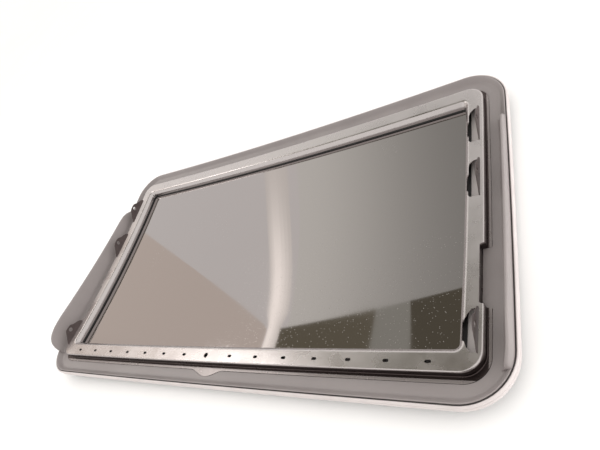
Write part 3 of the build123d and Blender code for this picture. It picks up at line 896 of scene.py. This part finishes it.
# (place along the side, height of the crest) in mm, from the round front end down
# the long straight slope to the rear.
WALL_CREST = [(-213.0, -4.0), (-211.0, 6.0), (-206.0, 15.0), (-198.0, 22.0), (-187.0, 26.5),
              (-172.0, 29.2), (-150.0, 29.8), (-60.0, 25.0), (30.0, 20.0), (110.0, 15.5),
              (124.0, 13.5), (136.0, 9.0), (145.0, 3.0), (151.0, -4.0)]
BEYOND_CREST = -4.5 * MM     # level of the rim's bank, where the wall has ended
RIM_CORNER = 58 * MM
RIM_CORNER_STARTS = 193 * MM
WALL_FOOT = -13.2 * MM
FULL_HEIGHT = 43.2 * MM      # a wall of this height would lean out by the whole lean
FULL_LEAN = 5.6              # mm, like the next two
WALL_INNER = 429.6           # foot of the wall's inner face
RIM_EDGE = 436.4             # outer face of the rim


def crest_height(y):
    """Height of the wall's top edge along the side."""
    for (y0, h0), (y1, h1) in zip(WALL_CREST, WALL_CREST[1:]):
        if y0 * MM <= y <= y1 * MM:
            t = (y - y0 * MM) / ((y1 - y0) * MM)
            return (h0 + (h1 - h0) * t) * MM
    return BEYOND_CREST


def plan_edge(y):
    """How far the rim's rounded corner draws the outer edge in at this point."""
    past = abs(y) - RIM_CORNER_STARTS
    if past <= 0:
        return 0.0
    return RIM_CORNER - math.sqrt(max(RIM_CORNER ** 2 - past * past, 0))


def add_side_wall(name, node, side):
    """The upright wall of one short side, lofted from front to rear."""
    # sections in mm along the side, closer at the round ends
    stations = [-213, -212, -210.5, -208, -205, -201, -196, -190, -183, -175]
    stations += list(range(-165, 116, 10)) + [118, 124, 130, 136, 141, 145, 148, 151]
    points = []
    for station in stations:
        y = station * MM
        top = crest_height(y)
        reach = (top - WALL_FOOT) / FULL_HEIGHT
        inset = plan_edge(y)
        # the foot and the curve up into the inner face, kept under a low crest
        section = [(423.9, -14.6), (423.9, -13.25), (426.0, -12.6), (428.0, -10.5),
                   (WALL_INNER, -6.0)]
        section = [(x, min(h, top / MM - 0.5 if h > -13 else h)) for x, h in section]
        # the inner face leans out to the rounded crest, then the outer face drops
        lean_x = WALL_INNER + FULL_LEAN * reach
        section += [(lean_x - 1.2, top / MM - 3.5 * reach), (lean_x - 0.2, top / MM - 0.8 * reach),
                    (lean_x + 0.9, top / MM), (lean_x + 1.9, top / MM - 0.2 * reach),
                    (lean_x + 2.6, top / MM - 1.4 * reach), (RIM_EDGE, -4.7), (RIM_EDGE, -14.6)]
        for x, h in section:
            x_here = x * MM - inset
            points.append((side * x_here, y, lift(x_here, y, h * MM)))
    width = len(points) // len(stations)
    faces = []
    for j in range(len(stations) - 1):
        for i in range(width):
            n = (i + 1) % width
            quad = (j * width + i, j * width + n, (j + 1) * width + n, (j + 1) * width + i)
            faces.append(quad if side < 0 else tuple(reversed(quad)))
    last = (len(stations) - 1) * width
    ends = [tuple(range(width)), tuple(range(last, last + width))]
    faces.append(tuple(reversed(ends[0])) if side < 0 else ends[0])
    faces.append(ends[1] if side < 0 else tuple(reversed(ends[1])))
    wall = add_object(name, points, faces, moulded, smooth=True)
    wall.data.set_sharp_from_angle(angle=math.radians(50))
    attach(wall, "root")
    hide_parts(node)


add_side_wall("side_wall_left_moulded", "side_wall_left", -1)
add_side_wall("side_wall_right_moulded", "side_wall_right", 1)

# --- Perimeter seal ---------------------------------------------------------------------
# An extruded rubber seal: a dense dark carrier strip clipped round the rim's
# edge, and a softer grey bulb with two ribs that closes against the opening.
carrier_rubber, tree = new_material("dense_extruded_rubber")
# Dense rubber from the die is charcoal, flat and dull, so the strip reads as a
# plain dark line. Its mottle, 4 mm across, hardly shows.
RUBBER_MOTTLE = 4.17 * MM
place = add_node(tree, "ShaderNodeTexCoord")
streaks = add_node(tree, "ShaderNodeTexNoise", {
    "Vector": place.outputs["Object"], "Scale": 1 / RUBBER_MOTTLE, "Detail": 3.0})
tone = add_node(tree, "ShaderNodeMix", {
    0: streaks.outputs["Fac"], 6: linear("#2b2726"), 7: linear("#3a3534")}, data_type="RGBA")
finish_material(tree, add_node(tree, "ShaderNodeBsdfPrincipled", {
    "Base Color": tone.outputs[2], "Roughness": 0.7, "IOR": 1.52}))

carrier = add_ring("seal_carrier_strip", [
    (436.5, 251.1, 58.1, -6.2, 0.2),
    (437.5, 252.1, 59.1, -6.2, 0.2),
    (437.5, 252.1, 59.1, -19.0, 0.2),
    (436.5, 251.1, 58.1, -19.0, 0.2)], carrier_rubber)
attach(carrier, "root")
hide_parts("seal_carrier")

bulb_rubber, tree = new_material("soft_extruded_seal_rubber")
# Sponge rubber with a dusty bloom: a pale, slightly pink grey and a satin skin
# with faint dull patches a few centimetres long and a sponge grain of 1 mm.
BLOOM_PATCH = 33.3 * MM
SPONGE_GRAIN = 1.11 * MM
place = add_node(tree, "ShaderNodeTexCoord")
bloom = add_node(tree, "ShaderNodeTexNoise", {
    "Vector": place.outputs["Object"], "Scale": 1 / BLOOM_PATCH, "Detail": 6.0})
fine = add_node(tree, "ShaderNodeTexNoise", {
    "Vector": place.outputs["Object"], "Scale": 1 / SPONGE_GRAIN, "Detail": 2.0})
tone = add_node(tree, "ShaderNodeMix", {
    0: bloom.outputs["Fac"], 6: linear("#c0b7b5"), 7: linear("#dad2d0")}, data_type="RGBA")
sheen = add_node(tree, "ShaderNodeMapRange", {
    "Value": bloom.outputs["Fac"], "From Min": 0.3, "From Max": 0.7, "To Min": 0.36, "To Max": 0.6})
relief = add_node(tree, "ShaderNodeBump", {
    "Height": fine.outputs["Fac"], "Strength": 0.2, "Distance": 0.1 * MM})
finish_material(tree, add_node(tree, "ShaderNodeBsdfPrincipled", {
    "Base Color": tone.outputs[2], "Roughness": sheen.outputs[0], "IOR": 1.52,
    "Normal": relief.outputs[0]}))

bulb = add_ring("seal_bulb_ribbed", [
    (437.6, 252.2, 59.2, -7.0, 0.3),      # top, against the carrier
    (438.6, 253.2, 60.2, -6.0, 1.4),
    (440.5, 255.1, 62.1, -7.6, 1.8),      # upper rib
    (440.5, 255.1, 62.1, -10.6, 1.4),
    (438.6, 253.2, 60.2, -11.9, 0.5),     # groove between the ribs
    (440.5, 255.1, 62.1, -13.2, 1.4),     # lower, deeper rib
    (440.5, 255.1, 62.1, -18.6, 1.8),
    (438.8, 253.4, 60.4, -20.4, 1.4),     # bottom
    (437.6, 252.2, 59.2, -19.6, 0.4)], bulb_rubber, steps=4)
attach(bulb, "root")
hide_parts("seal_bulb")

# --- Hidden bond parts ---------------------------------------------------------------------
# The rubber spacers under the frame and the thin bond under its flange are not
# seen once the lid is made, so they keep the drawn shape and take the finishes.
for node_name, finish in (("bond_spacers", carrier_rubber), ("flange_bond", adhesive)):
    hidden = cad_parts[node_name]
    hidden.data.materials.clear()
    hidden.data.materials.append(finish)
